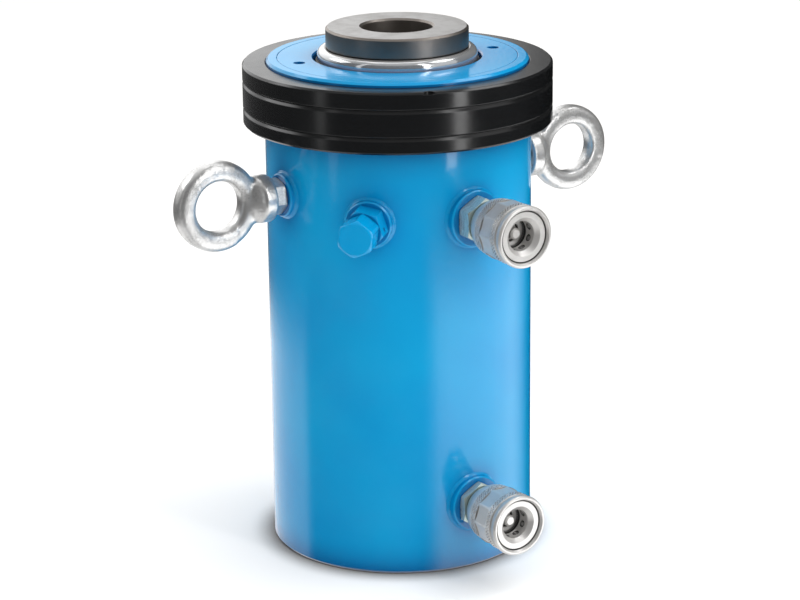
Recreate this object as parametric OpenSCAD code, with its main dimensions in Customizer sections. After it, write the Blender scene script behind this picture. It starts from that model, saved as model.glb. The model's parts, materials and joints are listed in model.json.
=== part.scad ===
// Double-acting hollow-plunger hydraulic cylinder.
// Frame: +Z is the plunger's stroke, the origin is the centre of the base face.
// The couplers face -Y, the two eye bolts lie on the X axis, the relief valve faces -X -Y.

/* [Barrel] */
// Wall of the barrel around the piston's bore
barrel_wall = 19; // [15:0.1:26]
// Thickness of the solid base
base_t = 32; // [26:1:40]
// Depth of the turned seat that carries the collar ring, from the rim down
collar_seat_h = 38.9; // [36:0.1:46]
// How far that seat is turned down below the barrel's surface
collar_seat_step = 1.5; // [1:0.1:2.5]
// Edge chamfer on the barrel
barrel_chamfer = 1.5; // [0.5:0.1:3]

/* [Stroke and plunger] */
// Travel of the plunger
stroke = 150; // [60:1:200]
// Room left above the piston at full stroke
end_room = 4.7; // [2:0.1:12]
// Wall of the plunger above the piston
plunger_wall = 15; // [12:0.1:20]
// Gap between the centre tube and the plunger's bore above the piston
plunger_relief = 1; // [0.6:0.1:4]
// Width of the oil space between the plunger and the barrel's bore
oil_space = 13; // [10.5:0.1:18]
// Height of the plunger's top face above the barrel's rim when it is retracted
plunger_stand = 5.7; // [3:0.1:20]
// Radius of the rounded shoulder at the plunger's top
plunger_round = 4.2; // [1:0.1:6]

/* [Centre tube] */
// Bore of the centre tube, which is the cylinder's centre hole
tube_bore_d = 54; // [44:0.1:70]
// Wall of the centre tube
tube_wall = 5; // [3.5:0.1:8]
// Drop from the barrel's rim to the top of the centre tube
tube_drop = 8.5; // [7:0.5:40]

/* [Saddle] */
// How far the saddle's edge lies inside the plunger's
saddle_inset = 5.25; // [4:0.05:8]
// Height of the saddle's head
saddle_h = 12.3; // [8:0.1:20]
// Diameter of the hole through the saddle
saddle_hole_d = 42.6; // [30:0.1:50]
// How far the threaded spigot is wider than the plunger's bore, on the radius
saddle_spigot_step = 1; // [0.5:0.1:3]
// Length of the spigot
saddle_spigot_h = 12; // [8:0.5:13]

/* [Piston] */
// Height of the piston
piston_h = 25; // [22:1:32]
// Step from the plunger's surface down to its seat in the piston
piston_seat_step = 6; // [4:0.1:7]
// Height of the ring nut below the piston
lock_ring_h = 14; // [12:0.5:16]
// How far the ring nut's edge lies inside the piston's
lock_ring_inset = 6.7; // [4:0.1:9]

/* [Gland] */
// Height of the gland bush
gland_bush_h = 36; // [32:1:40]
// Ledge below the gland bush, on the radius
gland_bush_step = 1.5; // [1:0.1:3]
// Ledge below the gland nut, on the radius
gland_nut_step = 9.5; // [6:0.1:11]
// Height of the gland nut
gland_nut_h = 38.5; // [34:0.5:44]
// Gap around the plunger at the gland's top, where the wiper's lip stands
gland_mouth_gap = 2.3; // [2.1:0.1:4]
// Diameter of each pin-spanner hole
spanner_hole_d = 7; // [5:0.5:9]
// Depth of each pin-spanner hole
spanner_hole_depth = 8; // [4:0.5:12]
// Distance of the pin-spanner holes inside the gland nut's thread
spanner_hole_inset = 11; // [7:0.5:15]
// Direction of the first pin-spanner hole, in degrees
spanner_hole_az = -14; // [-45:1:45]

/* [Collar ring] */
// Wall of the collar ring
collar_wall = 14.2; // [8:0.1:22]
// Height of the collar ring
collar_h = 36.3; // [30:0.1:38]
// Distance from the collar ring's top to the upper turned groove
collar_groove_upper = 10.9; // [6:0.1:14]
// Distance from the collar ring's top to the lower turned groove
collar_groove_lower = 26.9; // [18:0.1:28]
// Depth of the turned grooves
collar_groove_depth = 1.1; // [0.4:0.1:2]
// Edge chamfer on the collar ring
collar_chamfer = 1.2; // [0.5:0.1:3]

// Diameter of the small notch in the collar ring's upper edge
collar_notch_d = 6.4; // [3:0.1:10]
// Depth of that notch
collar_notch_depth = 1.6; // [0.5:0.1:4]
// Direction of that notch, in degrees
collar_notch_az = -111.3; // [-180:0.1:180]

/* [Ports] */
// Distance of the upper port below the gland bush
upper_port_drop = 8; // [7:0.5:30]
// Height of the lower port above the inside of the base
lower_port_rise = 9.2; // [9:0.1:13]
// Diameter of each port's boss
port_boss_d = 34; // [30:0.5:38]
// How far each port boss stands above the barrel
port_boss_stand = 4; // [1:0.5:8]
// Diameter of the port thread
port_thread_d = 16.6; // [14:0.1:17]
// Length of the port thread
port_thread_h = 13; // [10:0.5:14]
// Diameter of the oil passages
passage_d = 8; // [5:0.5:9]

/* [Couplers] */
// Width across flats of the adaptor's hexagon
adaptor_af = 25; // [24:0.5:30]
// Length of the upper adaptor's hexagon
upper_hex_h = 10.2; // [5:0.1:14]
// Length of the lower adaptor's hexagon
lower_hex_h = 5; // [4:0.1:14]
// Diameter of the coupler's body inside the sleeve
coupler_body_d = 26; // [25:0.1:32]
// Step from the body up to the nose flange, on the radius
nose_step = 2.1; // [1.9:0.1:2.6]
// Distance from the adaptor's hexagon to the coupler's nose
coupler_h = 37.2; // [37:0.1:42]
// How far the sleeve's lip stands in front of the nose
sleeve_lip = 2; // [0.5:0.1:3]
// Wall of the sleeve at its front lip
sleeve_wall = 2.9; // [2.4:0.1:5]
// Travel of the sleeve
sleeve_travel = 5; // [3:0.5:5]
// Diameter of the socket that takes the hose half
socket_d = 17.6; // [17:0.1:18.4]
// Diameter of the locking balls
lock_ball_d = 4.76; // [4.5:0.01:5]
// Number of locking balls
lock_ball_count = 8; // [4:1:10]
// Travel of the coupler's poppet
poppet_travel = 5; // [3:0.5:5]

/* [Relief valve] */
// Distance of the relief valve below the gland bush
relief_drop = 8; // [3:0.5:30]
// Direction of the relief valve, in degrees
relief_az = -135; // [-150:1:-120]
// Width across flats of its hexagon
relief_af = 22; // [21:0.5:26]
// Length of its hexagon
relief_hex_h = 15; // [14:0.5:22]
// Length of its cap
relief_cap_h = 19; // [14:0.5:24]
// Diameter of its cap
relief_cap_d = 21; // [20:0.5:22]
// Diameter of its boss
relief_boss_d = 28; // [26:0.5:32]
// Lift of its ball
relief_lift = 1.5; // [0.5:0.1:2]

/* [Eye bolts] */
// Height of the eye bolts above the bottom of the gland bush
eye_rise = 0.5; // [-30:0.5:2]
// How far the eye's ring reaches into its collar
eye_sink = 1.5; // [0.5:0.1:3]
// Outside diameter of the eye
eye_d = 54; // [50:0.5:60]
// Diameter of the hole in the eye
eye_hole_d = 30; // [26:0.5:34]
// Diameter of the thread
eye_thread_d = 12; // [10:1:14]
// Length of thread inside the barrel
eye_thread_h = 15; // [10:0.5:15]
// Diameter of the collar below the eye
eye_collar_d = 28.4; // [24:0.2:30]
// Height of that collar
eye_collar_h = 9; // [6:0.5:10]
// Width across flats of the lock nut
lock_nut_af = 19; // [18:0.5:22]
// Height of the lock nut
lock_nut_h = 8; // [6:0.5:9]
// Diameter of the eye bolt's boss
eye_boss_d = 26; // [24:0.5:32]
// How far that boss stands above the barrel
eye_boss_stand = 3.3; // [1:0.1:6]

/* [Base holes] */
// Distance of the two tapped holes in the base from the barrel's surface
base_hole_inset = 15; // [10:0.5:17]
// Tapping diameter of those holes
base_hole_d = 10.2; // [6:0.1:11]
// Depth of those holes
base_hole_depth = 15; // [8:0.5:20]

/* [Hidden] */
$fn = 96;

// Clearances
thread_gap = 0.1;    // between screwed or seated pieces, on the radius
slide_gap = 0.3;     // between pieces that slide past each other, on the radius
seal_gap = 0.1;      // between a seal or wear ring and the face it runs on, on the radius
groove_gap = 0.1;    // between a seal and its groove
end_gap = 0.05;      // between a spring's end and its seat
eps = 0.01;

// Radii and heights of the large turned pieces, stacked up from the base
lock_ring_z = base_t + slide_gap;
piston_z = lock_ring_z + lock_ring_h;
piston_top = piston_z + piston_h;
gland_bush_z = piston_top + stroke + end_room;
gland_nut_z = gland_bush_z + gland_bush_h;
barrel_h = gland_nut_z + gland_nut_h;
tube_r = tube_bore_d / 2 + tube_wall;
plunger_bore_r = tube_r + plunger_relief;
plunger_r = plunger_bore_r + plunger_wall;
bore_r = plunger_r + oil_space;
barrel_r = bore_r + barrel_wall;
collar_seat_r = barrel_r - collar_seat_step;
collar_seat_z = barrel_h - collar_seat_h;
collar_r = collar_seat_r + thread_gap + collar_wall;
gland_bush_r = bore_r + gland_bush_step;
gland_nut_r = gland_bush_r + gland_nut_step;
gland_mouth_r = plunger_r + gland_mouth_gap;
spanner_hole_r = gland_nut_r - spanner_hole_inset;
plunger_top = barrel_h + plunger_stand;
tube_top = barrel_h - tube_drop;
piston_r = bore_r - slide_gap;
piston_seat_r = plunger_r - piston_seat_step;
lock_ring_r = piston_r - lock_ring_inset;
saddle_r = plunger_r - saddle_inset;
saddle_spigot_r = plunger_bore_r + saddle_spigot_step;
base_hole_r = barrel_r - base_hole_inset;

// Seal and wear-ring sections: [radial depth, height]
rod_seal_size = [4.5, 7];
rod_wear_size = [2.5, 12];
piston_seal_size = [5, 7];
piston_wear_size = [2.5, 8];
inner_seal_size = [4, 6];
inner_wear_size = [2.5, 10];
o_ring_wire = 3.5;
gland_o_ring_z = gland_bush_z + 0.62 * gland_bush_h;
tube_o_ring_z = base_t / 2;
rod_wear_z = gland_bush_z + 4;
rod_seal_z = gland_nut_z - rod_seal_size[1] - 4;
piston_seal_z = piston_z + 4;
piston_wear_z = piston_top - piston_wear_size[1] - 3;
inner_seal_z = lock_ring_z + 6;
inner_wear_z = inner_seal_z + inner_seal_size[1] + 5;
wiper_lip_t = 1.8;
wiper_body_size = [5, 7];
wiper_z = barrel_h - 11.5;
wiper_lip_h = 3;

// Upper and lower ports: [height, length of the adaptor's hexagon]
upper_port = [gland_bush_z - upper_port_drop, upper_hex_h];
lower_port = [base_t + lower_port_rise, lower_hex_h];
port_seat_r = barrel_r + port_boss_stand;
port_thread_r = port_thread_d / 2;
port_seal_wire = 2;
port_seal_r = port_thread_r + 1.6;

// Coupler, along its own axis from the adaptor hexagon's front face
body_r = coupler_body_d / 2;
nose_r = body_r + nose_step;
neck_h = 2.5;
neck_r = 11;
shoulder_h = sleeve_travel;
shoulder_r1 = body_r;
shoulder_r2 = nose_r - 0.1;
body_z = neck_h + shoulder_h;
spigot_wall = 2.6;
spigot_r = body_r - spigot_wall;
spigot_h = 9.5;
spigot_bore_r = 6.6;
guide_t = 2;
guide_z = neck_h - guide_t;
adaptor_bore_r = 4.6;
flow_hole_r = 0.7;
flow_hole_at = 3.5;
nose_h = 4.4;
nose_z = coupler_h - nose_h;
stop_ring_h = 2;
land_h = 12;
land_z = nose_z - land_h - 0.2;
sleeve_z = body_z + 0.5;
sleeve_bore_r = nose_r + slide_gap;
sleeve_top = coupler_h + sleeve_lip;
sleeve_r = sleeve_bore_r + sleeve_wall;
rear_knurl = [12, 17.5];
front_knurl = [coupler_h - 8.5, coupler_h - 4];
flats_band = [rear_knurl[1] + 1, front_knurl[0] - 0.5];
sleeve_flats = 10;
sleeve_flats_r = sleeve_r - 1.2;
socket_r = socket_d / 2;
socket_depth = 13;
socket_floor_z = coupler_h - socket_depth;
socket_chamfer = 2.6;
ball_r = lock_ball_d / 2;
ball_z = coupler_h - 7.2;
ball_centre_r = body_r + 0.1 - ball_r;
ball_lip = 0.6;
socket_seal_wire = 2;
socket_seal_z = ball_z - 4.4;
throat_r = 5.6;
throat_z = socket_floor_z - 1.5;
seat_h = 2;
valve_bore_r = 7;
head_r = 6.2;
head_h = 3.4;
poppet_gap = 0.2;
head_top = throat_z - seat_h - poppet_gap;
stem_r = 2;
stem_z = 1 - poppet_travel;
nozzle_r = 3.4;
nozzle_top = socket_floor_z + 5.5;
poppet_wire = 1;
poppet_coil_r = 4.6;
sleeve_wire = 1.3;
sleeve_turns = 4.5;
poppet_turns = 7;

// Relief valve, along its own axis from the boss face
relief_z = gland_bush_z - relief_drop;
relief_seat_r = barrel_r + 4;
relief_shank_r = 6.5;
relief_shank_h = 15;
relief_inlet_r = 2;
relief_seat_z = -8;
relief_ball_r = 3;
relief_chamber_r = 5.2;
relief_wire = 1.2;
relief_flange_h = 3.5;
relief_ball_z = relief_seat_z + 4;
relief_follower_z = relief_ball_z + relief_ball_r + end_gap;
relief_spring_z = relief_follower_z + relief_flange_h;
relief_hex_turn = -12;
relief_adjuster_z = relief_hex_h + 3;
relief_pilot_top = relief_adjuster_z - relief_lift;
relief_pilot_r = relief_chamber_r - slide_gap - relief_wire - 0.7;
relief_adjuster_h = 7;
relief_turns = 8;
relief_thread_r = 8.6;
relief_thread_h = 13;
relief_vent_r = 1.2;

// Eye bolts
eye_wire_r = (eye_d - eye_hole_d) / 4;
eye_mid_r = (eye_d + eye_hole_d) / 4;
eye_z = gland_bush_z + eye_rise;
eye_seat_r = barrel_r + eye_boss_stand;
lock_nut_turn = -16;
eye_collar_z = lock_nut_h;
eye_centre_z = eye_collar_z + eye_collar_h + eye_d / 2 - eye_sink;

// A ring with a rectangular section
module ring(r_out, r_in, h, z = 0) {
    translate([0, 0, z]) difference() {
        cylinder(r = r_out, h = h);
        translate([0, 0, -1]) cylinder(r = r_in, h = h + 2);
    }
}

// A disc whose two edges are chamfered by bottom and top
module turned(r, h, bottom = 0, top = 0) {
    rotate_extrude() polygon([
        [0, 0], [r - bottom, 0], [r, bottom], [r, h - top], [r - top, h], [0, h]
    ]);
}

// A torus
module o_ring(mid_r, wire_r, z = 0) {
    translate([0, 0, z]) rotate_extrude() translate([mid_r, 0]) circle(r = wire_r, $fn = 32);
}

// Seal or wear ring of a [depth, height] section that runs on a shaft of radius r, and its groove
module shaft_ring(r, size, z) {
    ring(r + size[0], r + seal_gap, size[1], z);
}
module shaft_ring_groove(r, size, z) {
    translate([0, 0, z - groove_gap])
        cylinder(r = r + size[0] + groove_gap, h = size[1] + 2 * groove_gap);
}

// Seal or wear ring of a [depth, height] section that runs in a bore of radius r, and its groove
module bore_ring(r, size, z) {
    ring(r - seal_gap, r - size[0], size[1], z);
}
module bore_ring_groove(r, size, z) {
    ring(r + 1, r - size[0] - groove_gap, size[1] + 2 * groove_gap, z - groove_gap);
}

// A hexagonal prism with its corners turned off at the chosen ends
module hexagon(af, h, bottom = true, top = true) {
    corner_r = af / sqrt(3);
    face_r = af / 2 + 0.2;
    c = (corner_r - face_r) * 0.6;
    intersection() {
        cylinder(r = corner_r, h = h, $fn = 6);
        rotate_extrude() polygon([
            [0, 0],
            [bottom ? face_r : corner_r + 1, 0],
            [corner_r + (bottom ? 0 : 1), bottom ? c : 0],
            [corner_r + (top ? 0 : 1), top ? h - c : h],
            [top ? face_r : corner_r + 1, h],
            [0, h]
        ]);
    }
}

// Height of a coil spring's wire after t turns, with one closed turn at each end
function coil_z(t, turns, h, wire) =
    let (closed = 1.05 * wire, lift = h - wire - 2 * closed)
    t < 1 ? wire / 2 + closed * t :
    t > turns - 1 ? h - wire / 2 - closed * (turns - t) :
    wire / 2 + closed + lift * (t - 1) / (turns - 2);

// A coil spring standing on z = 0
module coil_spring(mid_r, wire, h, turns, steps = 18, sides = 8) {
    n = turns * steps;
    points = [for (i = [0:n], k = [0:sides - 1])
        let (a = 360 * i / steps, b = 360 * k / sides, r = mid_r + wire / 2 * cos(b))
        [r * cos(a), r * sin(a), coil_z(i / steps, turns, h, wire) + wire / 2 * sin(b)]];
    skin = [for (i = [0:n - 1], k = [0:sides - 1])
        let (a = i * sides + k, b = i * sides + (k + 1) % sides)
        each [[a, b, b + sides], [a, b + sides, a + sides]]];
    start = [for (k = [1:sides - 2]) [0, k + 1, k]];
    finish = [for (k = [1:sides - 2]) [n * sides, n * sides + k, n * sides + k + 1]];
    polyhedron(points = points, faces = concat(skin, start, finish));
}

// Puts a shape with its own +Z on a radial axis of the barrel
module radial(az, r, z) {
    rotate([0, 0, az]) translate([r, 0, z]) rotate([0, 90, 0]) rotate([0, 0, 90]) children();
}

// Puts a coupler shape on its port, from the adaptor hexagon's front face outward
module on_port(port) {
    radial(-90, port_seat_r + port[1], port[0]) children();
}

// Puts a relief valve shape on its boss
module on_relief() {
    radial(relief_az, relief_seat_r, relief_z) children();
}

// Puts an eye bolt shape on its boss: side is 0 for right and 180 for left
module on_eye(side) {
    radial(side, eye_seat_r, eye_z) children();
}

// A round boss from inside the wall to face_r, with a chamfered edge
module boss(d, face_r) {
    root = barrel_r - 8;
    translate([0, 0, root - face_r]) turned(d / 2, face_r - root, top = 0.8);
}

module barrel() {
    color("deepskyblue") difference() {
        union() {
            turned(barrel_r, collar_seat_z, bottom = barrel_chamfer, top = 0.3);
            cylinder(r = collar_seat_r, h = collar_seat_z + 1);
            translate([0, 0, collar_seat_z])
                turned(collar_seat_r, collar_seat_h, top = barrel_chamfer);
            for (port = [upper_port, lower_port])
                radial(-90, port_seat_r, port[0]) boss(port_boss_d, port_seat_r);
            on_relief() boss(relief_boss_d, relief_seat_r);
            for (side = [0, 180]) on_eye(side) boss(eye_boss_d, eye_seat_r);
        }
        // Stepped bore: piston, gland bush, gland nut
        translate([0, 0, base_t]) cylinder(r = bore_r, h = barrel_h);
        translate([0, 0, gland_bush_z]) cylinder(r = gland_bush_r, h = barrel_h);
        translate([0, 0, gland_nut_z]) cylinder(r = gland_nut_r, h = barrel_h);
        // Seat of the centre tube with its seal groove
        translate([0, 0, -1]) cylinder(r = tube_r + thread_gap, h = base_t + 2);
        translate([0, 0, tube_o_ring_z - o_ring_wire / 2])
            cylinder(r = tube_r + o_ring_wire, h = o_ring_wire);
        // Port threads and passages
        for (port = [upper_port, lower_port]) radial(-90, port_seat_r, port[0]) {
            translate([0, 0, -port_thread_h - 1])
                cylinder(r = port_thread_r + thread_gap, h = port_thread_h + 2);
            translate([0, 0, bore_r - 4 - port_seat_r])
                cylinder(d = passage_d, h = port_seat_r - bore_r);
        }
        // Relief valve thread and inlet
        on_relief() {
            translate([0, 0, -relief_shank_h - 0.5])
                cylinder(r = relief_shank_r + thread_gap, h = relief_shank_h + 1);
            translate([0, 0, bore_r - 4 - relief_seat_r])
                cylinder(r = relief_inlet_r, h = relief_seat_r - bore_r);
        }
        // Blind threads of the eye bolts
        for (side = [0, 180]) on_eye(side)
            translate([0, 0, -eye_thread_h - 0.5])
                cylinder(r = eye_thread_d / 2 + thread_gap, h = eye_thread_h + 1);
        // Tapped holes in the base
        for (side = [-1, 1]) translate([side * base_hole_r, 0, -1])
            cylinder(d = base_hole_d, h = base_hole_depth + 1);
    }
}

// Section of the collar ring, with its two V grooves
module collar_section() {
    c = collar_chamfer;
    g = collar_groove_depth;
    r_in = collar_seat_r + thread_gap;
    r_out = collar_r;
    difference() {
        polygon([
            [r_in, 0.6], [r_in + 0.6, 0], [r_out - c, 0], [r_out, c],
            [r_out, collar_h - c], [r_out - c, collar_h], [r_in + 0.6, collar_h], [r_in, collar_h - 0.6]
        ]);
        for (drop = [collar_groove_upper, collar_groove_lower]) translate([r_out, collar_h - drop])
            polygon([[-g, 0], [eps, g], [1, g], [1, -1.6 * g], [eps, -1.6 * g]]);
    }
}

module collar_ring() {
    color("black") translate([0, 0, collar_seat_z]) difference() {
        rotate_extrude() collar_section();
        rotate([0, 0, collar_notch_az]) translate([collar_r, 0, collar_h - collar_notch_depth])
            cylinder(d = collar_notch_d, h = collar_notch_depth + 1, $fn = 48);
    }
}

module gland_nut() {
    mouth_r = gland_mouth_r;
    body = wiper_body_size;
    color("deepskyblue") difference() {
        translate([0, 0, gland_nut_z])
            turned(gland_nut_r - thread_gap, gland_nut_h, bottom = 1, top = 0.3);
        translate([0, 0, gland_nut_z - 1]) cylinder(r = plunger_r + slide_gap, h = gland_nut_h + 2);
        shaft_ring_groove(plunger_r, body, wiper_z);
        translate([0, 0, wiper_z + body[1]]) cylinder(r = mouth_r, h = barrel_h);
        translate([0, 0, barrel_h - 0.8]) cylinder(r1 = mouth_r, r2 = mouth_r + 1, h = 1);
        for (turn = [0, 180]) rotate([0, 0, spanner_hole_az + turn])
            translate([spanner_hole_r, 0, barrel_h - spanner_hole_depth])
                cylinder(d = spanner_hole_d, h = spanner_hole_depth + 1, $fn = 48);
    }
}

module gland_bush() {
    color("goldenrod") difference() {
        translate([0, 0, gland_bush_z]) turned(gland_bush_r - thread_gap, gland_bush_h, bottom = 1);
        translate([0, 0, gland_bush_z - 1]) cylinder(r = plunger_r + slide_gap, h = gland_bush_h + 2);
        shaft_ring_groove(plunger_r, rod_wear_size, rod_wear_z);
        shaft_ring_groove(plunger_r, rod_seal_size, rod_seal_z);
        translate([0, 0, gland_o_ring_z - o_ring_wire / 2])
            ring(gland_bush_r + 1, gland_bush_r - o_ring_wire, o_ring_wire);
    }
}

module wiper() {
    r_in = plunger_r + seal_gap;
    body = wiper_body_size;
    color("dimgray") translate([0, 0, wiper_z]) rotate_extrude() polygon([
        [r_in + 1, 0], [plunger_r + body[0], 0], [plunger_r + body[0], body[1]],
        [r_in + wiper_lip_t, body[1]], [r_in + 0.6, body[1] + wiper_lip_h],
        [r_in, body[1] + wiper_lip_h], [r_in, body[1] - 2]
    ]);
}

module rod_seal() {
    color("darkred") shaft_ring(plunger_r, rod_seal_size, rod_seal_z);
}

module rod_wear_ring() {
    color("peru") shaft_ring(plunger_r, rod_wear_size, rod_wear_z);
}

module gland_o_ring() {
    color("black")
        o_ring(gland_bush_r - o_ring_wire / 2, o_ring_wire / 2 - groove_gap / 2, gland_o_ring_z);
}

module centre_tube() {
    color("lightgray") difference() {
        turned(tube_r, tube_top, top = 1);
        translate([0, 0, -1]) cylinder(d = tube_bore_d, h = tube_top + 2);
    }
}

module centre_tube_o_ring() {
    color("black")
        o_ring(tube_r + o_ring_wire / 2, o_ring_wire / 2 - groove_gap / 2, tube_o_ring_z);
}

module plunger() {
    round_r = plunger_round;
    color("gainsboro") difference() {
        union() {
            translate([0, 0, lock_ring_z])
                cylinder(r = piston_seat_r, h = piston_top - lock_ring_z + 1);
            translate([0, 0, piston_top])
                cylinder(r = plunger_r, h = plunger_top - round_r - piston_top);
            translate([0, 0, plunger_top - round_r]) cylinder(r = plunger_r - round_r, h = round_r);
            translate([0, 0, plunger_top - round_r]) rotate_extrude()
                translate([plunger_r - round_r, 0]) intersection() {
                    circle(r = round_r, $fn = 64);
                    square(round_r);
                }
        }
        // Bore: runs on the centre tube at the piston, relieved above, threaded for the saddle
        translate([0, 0, lock_ring_z - 1]) cylinder(r = tube_r + slide_gap, h = plunger_top);
        translate([0, 0, piston_top]) cylinder(r = plunger_bore_r, h = plunger_top);
        translate([0, 0, plunger_top - saddle_spigot_h - 1])
            cylinder(r = saddle_spigot_r + thread_gap, h = saddle_spigot_h + 2);
        shaft_ring_groove(tube_r, inner_seal_size, inner_seal_z);
        shaft_ring_groove(tube_r, inner_wear_size, inner_wear_z);
    }
}

module saddle() {
    edge = 1.2;
    spigot_z = plunger_top - saddle_spigot_h;
    color("slategray") difference() {
        union() {
            translate([0, 0, plunger_top]) turned(saddle_r, saddle_h, bottom = 0.6, top = edge);
            translate([0, 0, spigot_z]) turned(saddle_spigot_r, saddle_spigot_h + 1, bottom = 1);
        }
        translate([0, 0, spigot_z - 1]) cylinder(d = saddle_hole_d, h = saddle_h + saddle_spigot_h + 2);
        translate([0, 0, plunger_top + saddle_h - edge])
            cylinder(r1 = saddle_hole_d / 2, r2 = saddle_hole_d / 2 + edge + 0.5, h = edge + 0.5);
    }
}

module piston() {
    color("darkgray") difference() {
        translate([0, 0, piston_z]) turned(piston_r, piston_h, bottom = 1.5, top = 1.5);
        translate([0, 0, piston_z - 1]) cylinder(r = piston_seat_r + thread_gap, h = piston_h + 2);
        bore_ring_groove(bore_r, piston_seal_size, piston_seal_z);
        bore_ring_groove(bore_r, piston_wear_size, piston_wear_z);
    }
}

module piston_lock_ring() {
    color("gray") difference() {
        translate([0, 0, lock_ring_z]) turned(lock_ring_r, lock_ring_h, bottom = 1.5, top = 0.5);
        translate([0, 0, lock_ring_z - 1])
            cylinder(r = piston_seat_r + thread_gap, h = lock_ring_h + 2);
        for (turn = [45:90:315]) rotate([0, 0, turn])
            translate([lock_ring_r, 0, lock_ring_z + lock_ring_h / 2])
                cube([8, 8, lock_ring_h + 2], center = true);
    }
}

module piston_seal() {
    color("darkred") bore_ring(bore_r, piston_seal_size, piston_seal_z);
}

module piston_wear_ring() {
    color("peru") bore_ring(bore_r, piston_wear_size, piston_wear_z);
}

module inner_seal() {
    color("darkred") shaft_ring(tube_r, inner_seal_size, inner_seal_z);
}

module inner_wear_ring() {
    color("peru") shaft_ring(tube_r, inner_wear_size, inner_wear_z);
}

// Forged eye bolt: thread, collar, neck and eye
module eye_bolt() {
    neck_top = eye_centre_z - eye_mid_r;
    collar_r = eye_collar_d / 2;
    collar_top = eye_collar_z + eye_collar_h;
    color("silver") union() {
        translate([0, 0, -eye_thread_h])
            turned(eye_thread_d / 2, eye_thread_h + eye_collar_z + 1, bottom = 1.2);
        translate([0, 0, eye_collar_z]) turned(collar_r, eye_collar_h, bottom = 0.8, top = 1.6);
        translate([0, 0, collar_top - 2])
            cylinder(r1 = collar_r - 1.5, r2 = eye_wire_r - 0.5, h = neck_top - collar_top + 2);
        translate([0, 0, eye_centre_z]) rotate([0, 90, 0]) o_ring(eye_mid_r, eye_wire_r);
    }
}

module lock_nut() {
    color("silver") difference() {
        rotate([0, 0, lock_nut_turn]) hexagon(lock_nut_af, lock_nut_h);
        translate([0, 0, -1]) cylinder(r = eye_thread_d / 2 + thread_gap, h = lock_nut_h + 2);
    }
}

module left_eye_bolt() { on_eye(180) eye_bolt(); }
module right_eye_bolt() { on_eye(0) eye_bolt(); }
module left_lock_nut() { on_eye(180) lock_nut(); }
module right_lock_nut() { on_eye(0) lock_nut(); }

module relief_body() {
    color("deepskyblue") on_relief() difference() {
        union() {
            translate([0, 0, -relief_shank_h]) turned(relief_shank_r, relief_shank_h + 1, bottom = 1);
            rotate([0, 0, relief_hex_turn]) hexagon(relief_af, relief_hex_h);
            cylinder(r = relief_thread_r, h = relief_hex_h + relief_thread_h);
        }
        translate([0, 0, -relief_shank_h - 1]) cylinder(r = relief_inlet_r, h = relief_shank_h);
        translate([0, 0, relief_seat_z])
            cylinder(r1 = relief_inlet_r, r2 = relief_chamber_r, h = relief_chamber_r - relief_inlet_r);
        translate([0, 0, relief_seat_z + relief_chamber_r - relief_inlet_r])
            cylinder(r = relief_chamber_r, h = relief_shank_h + relief_hex_h + relief_thread_h);
        translate([0, 0, relief_hex_h / 2]) rotate([0, 90, 0])
            cylinder(r = relief_vent_r, h = relief_af, $fn = 24);
    }
}

module relief_cap() {
    round_r = 2.4;
    cap_r = relief_cap_d / 2;
    color("deepskyblue") on_relief() translate([0, 0, relief_hex_h]) difference() {
        union() {
            turned(cap_r, relief_cap_h - round_r, bottom = 0.6);
            cylinder(r = cap_r - round_r, h = relief_cap_h);
            translate([0, 0, relief_cap_h - round_r]) rotate_extrude()
                translate([cap_r - round_r, 0]) intersection() {
                    circle(r = round_r, $fn = 48);
                    square(round_r);
                }
        }
        translate([0, 0, -1]) cylinder(r = relief_thread_r + thread_gap, h = relief_thread_h + 2);
    }
}

module relief_adjuster() {
    color("gray") on_relief() translate([0, 0, relief_adjuster_z]) difference() {
        turned(relief_chamber_r - thread_gap, relief_adjuster_h, bottom = 0.5, top = 0.5);
        translate([0, 0, relief_adjuster_h - 4]) cylinder(r = 2.4, h = 5, $fn = 6);
    }
}

module relief_follower() {
    color("gray") on_relief() translate([0, 0, relief_follower_z]) union() {
        turned(relief_chamber_r - slide_gap, relief_flange_h, bottom = 0.5);
        cylinder(r = relief_pilot_r, h = relief_pilot_top - relief_follower_z);
    }
}

module relief_ball() {
    color("silver") on_relief() translate([0, 0, relief_ball_z]) sphere(r = relief_ball_r, $fn = 48);
}

module relief_spring() {
    h = relief_adjuster_z - relief_spring_z;
    mid_r = relief_chamber_r - slide_gap - relief_wire / 2 - 0.1;
    color("gray") on_relief() translate([0, 0, relief_spring_z + end_gap])
        coil_spring(mid_r, relief_wire, h - 2 * end_gap, relief_turns, steps = 14);
}

// Hexagon adaptor between a port and its coupler, with the poppet's guide inside
module adaptor(port) {
    hex_h = port[1];
    color("darkseagreen") on_port(port) difference() {
        union() {
            translate([0, 0, -hex_h]) rotate([0, 0, 30]) hexagon(adaptor_af, hex_h);
            translate([0, 0, -hex_h - port_thread_h])
                turned(port_thread_r, port_thread_h + 1, bottom = 1);
            translate([0, 0, -1]) cylinder(r = neck_r, h = neck_h + 2);
            translate([0, 0, neck_h]) cylinder(r1 = shoulder_r1, r2 = shoulder_r2, h = shoulder_h);
            translate([0, 0, body_z - 1]) cylinder(r = spigot_r, h = spigot_h + 1);
        }
        translate([0, 0, -hex_h - port_thread_h - 1])
            cylinder(r = adaptor_bore_r, h = hex_h + port_thread_h + 1 + guide_z);
        translate([0, 0, neck_h]) cylinder(r = spigot_bore_r, h = coupler_h);
        translate([0, 0, guide_z - 1]) cylinder(r = stem_r + slide_gap, h = guide_t + 2, $fn = 32);
        for (turn = [0:90:270]) rotate([0, 0, turn + 45])
            translate([flow_hole_at, 0, guide_z - 1])
                cylinder(r = flow_hole_r, h = guide_t + 2, $fn = 24);
        translate([0, 0, -hex_h - 0.01])
            ring(port_seal_r + port_seal_wire / 2, port_thread_r, port_seal_wire - 0.3);
    }
}

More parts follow.
